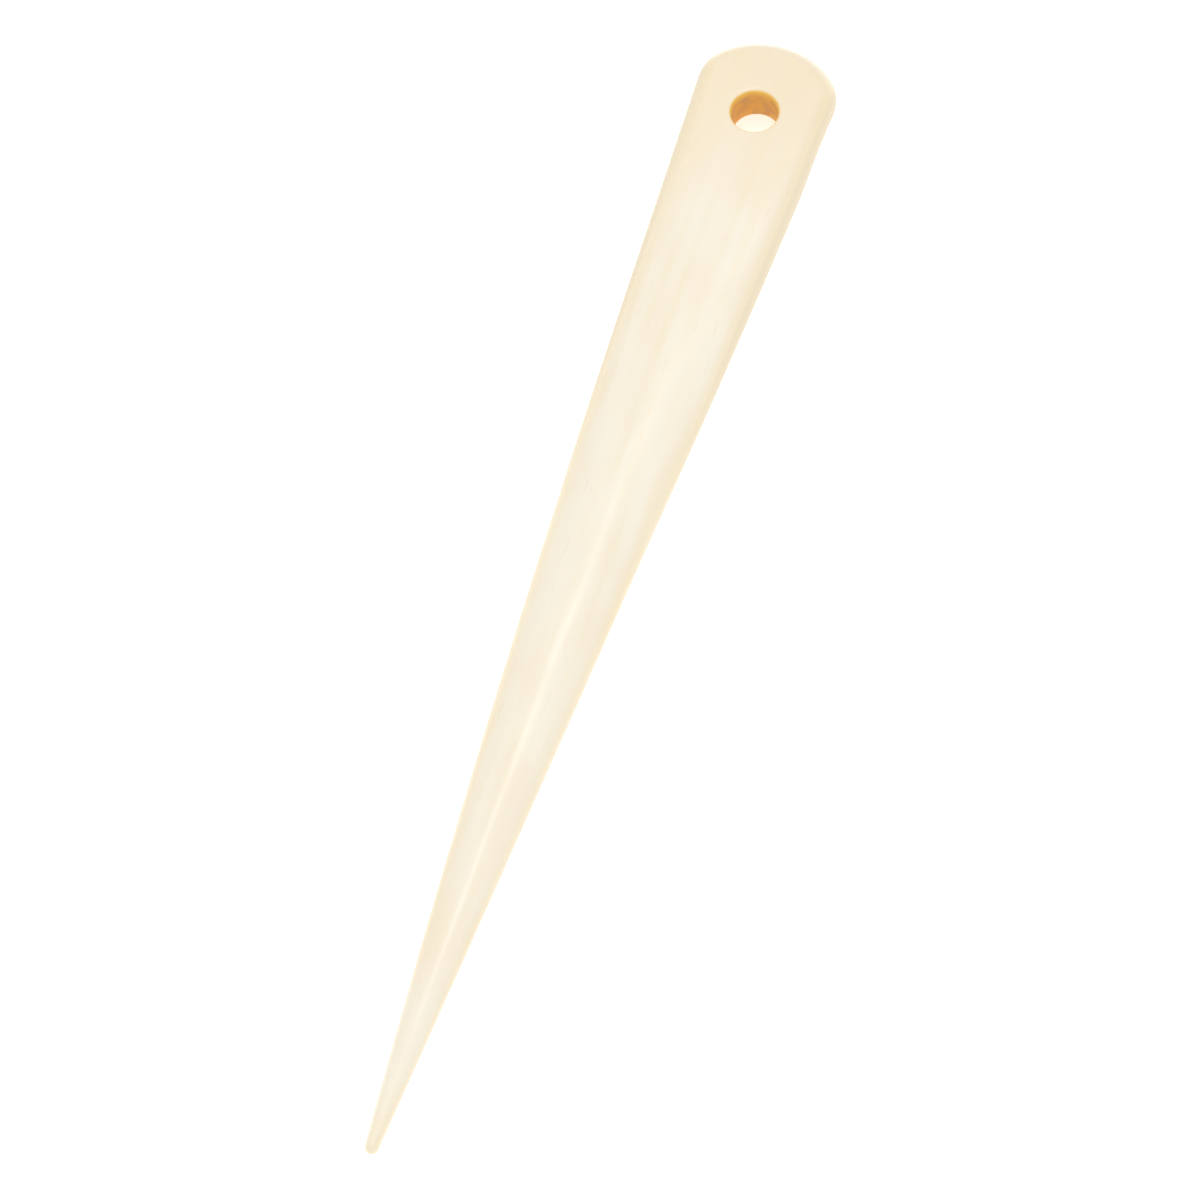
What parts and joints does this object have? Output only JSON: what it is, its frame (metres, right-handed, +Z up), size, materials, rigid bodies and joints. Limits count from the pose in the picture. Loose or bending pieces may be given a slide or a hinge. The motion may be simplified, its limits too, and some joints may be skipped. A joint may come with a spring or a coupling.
{
  "type": "bone folder",
  "caption": "Slender one-piece bone folder: flat rounded head with a hanging hole, crowned blade tapering to a small rounded point.",
  "frame": {"origin": "middle of the folder's length and width, on the surface that its flat back lies on", "axes": "+X along the blade from the head with the hanging hole to the point, +Y across the width, +Z up out of the crowned upper face"},
  "size_m": [0.15, 0.0164, 0.005],
  "materials": {
    "bone": "gloss"
  },
  "bodies": {
    "root": {"folder_blade": "bone"}
  },
  "joints": []
}
